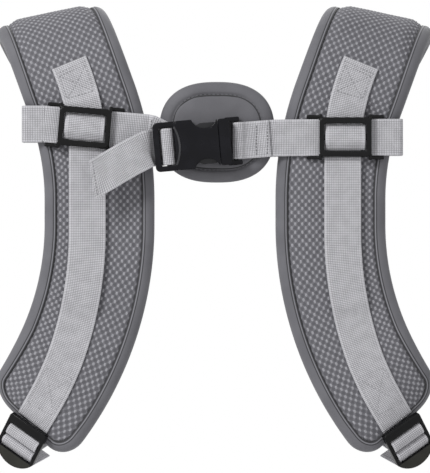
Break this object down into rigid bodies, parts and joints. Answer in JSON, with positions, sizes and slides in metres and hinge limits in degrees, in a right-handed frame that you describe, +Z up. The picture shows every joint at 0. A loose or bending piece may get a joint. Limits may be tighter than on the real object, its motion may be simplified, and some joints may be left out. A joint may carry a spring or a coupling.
{
  "type": "baby carrier shoulder harness",
  "caption": "Shoulder harness of a soft baby carrier: padded straps arch over the shoulders, joined across the back by a chest strap with sliders, side-release buckle and oval pad.",
  "frame": {"origin": "midway between the wearer's shoulders, on the level of the axis that both pads arch round (mount wearer_shoulders)", "axes": "+X the wearer's right, +Y the wearer's front, +Z up; the picture looks along +Y at the wearer's back"},
  "size_m": [0.3012, 0.1275, 0.3173],
  "materials": {
    "mesh_cover": "dark grey 3-D mesh with raised lighter dots",
    "lining": "dark grey smooth lining",
    "binding": "mid-grey smooth woven cloth",
    "webbing": "light grey ribbed webbing",
    "foam": "open-cell foam, hidden by the covers",
    "plastic": "black satin acetal"
  },
  "bodies": {
    "shoulder_straps": {"right_pad_face": "mesh_cover", "right_pad_foam": "foam", "right_pad_lining": "lining", "right_pad_binding": "binding", "right_strap": "webbing", "left_pad_face": "mesh_cover", "left_pad_foam": "foam", "left_pad_lining": "lining", "left_pad_binding": "binding", "left_strap": "webbing"},
    "right_lower_adjuster": {"right_adjuster": "plastic", "right_adjuster_loop": "webbing", "right_waist_webbing": "webbing"},
    "left_lower_adjuster": {"left_adjuster": "plastic", "left_adjuster_loop": "webbing", "left_waist_webbing": "webbing"},
    "chest_strap": {"right_slider": "plastic", "right_slider_webbing": "webbing", "left_slider": "plastic", "left_slider_webbing": "webbing", "right_chest_webbing": "webbing", "left_chest_webbing": "webbing", "buckle_plug": "plastic", "back_pad_front": "binding", "back_pad_foam": "foam", "back_pad_rear": "binding"},
    "socket": {"buckle_socket": "plastic", "adjuster_tail": "webbing"},
    "upper_prong": {"upper_prong": "plastic"},
    "lower_prong": {"lower_prong": "plastic"}
  },
  "joints": [
    {"name": "chest_height", "type": "slide", "parent": "shoulder_straps", "child": "chest_strap", "axis": [0, 0, 1], "range_m": [-0.096, 0]},
    {"name": "buckle_release", "type": "slide", "parent": "chest_strap", "child": "socket", "axis": [-0.9962, 0, -0.0872], "range_m": [0, 0.024]},
    {"name": "upper_prong_press", "type": "hinge", "parent": "chest_strap", "child": "upper_prong", "pos_m": [0.00443, -0.0637, -0.02965], "axis": [0, -1, 0], "range_deg": [0, 6], "stiffness_Nm_per_rad": 0.2},
    {"name": "lower_prong_press", "type": "hinge", "parent": "chest_strap", "child": "lower_prong", "pos_m": [0.00604, -0.0637, -0.04798], "axis": [0, 1, 0], "range_deg": [0, 6], "stiffness_Nm_per_rad": 0.2},
    {"name": "right_adjuster_tilt", "type": "hinge", "parent": "shoulder_straps", "child": "right_lower_adjuster", "pos_m": [0.12597, -0.0484, -0.23137], "axis": [-0.7996, -0.2464, -0.5476], "range_deg": [0, 40]},
    {"name": "left_adjuster_tilt", "type": "hinge", "parent": "shoulder_straps", "child": "left_lower_adjuster", "pos_m": [-0.12597, -0.0484, -0.23137], "axis": [-0.7996, 0.2464, 0.5476], "range_deg": [0, 40]}
  ],
  "couplings": [
    {"joint": "lower_prong_press", "follows": "upper_prong_press", "ratio": 1}
  ]
}
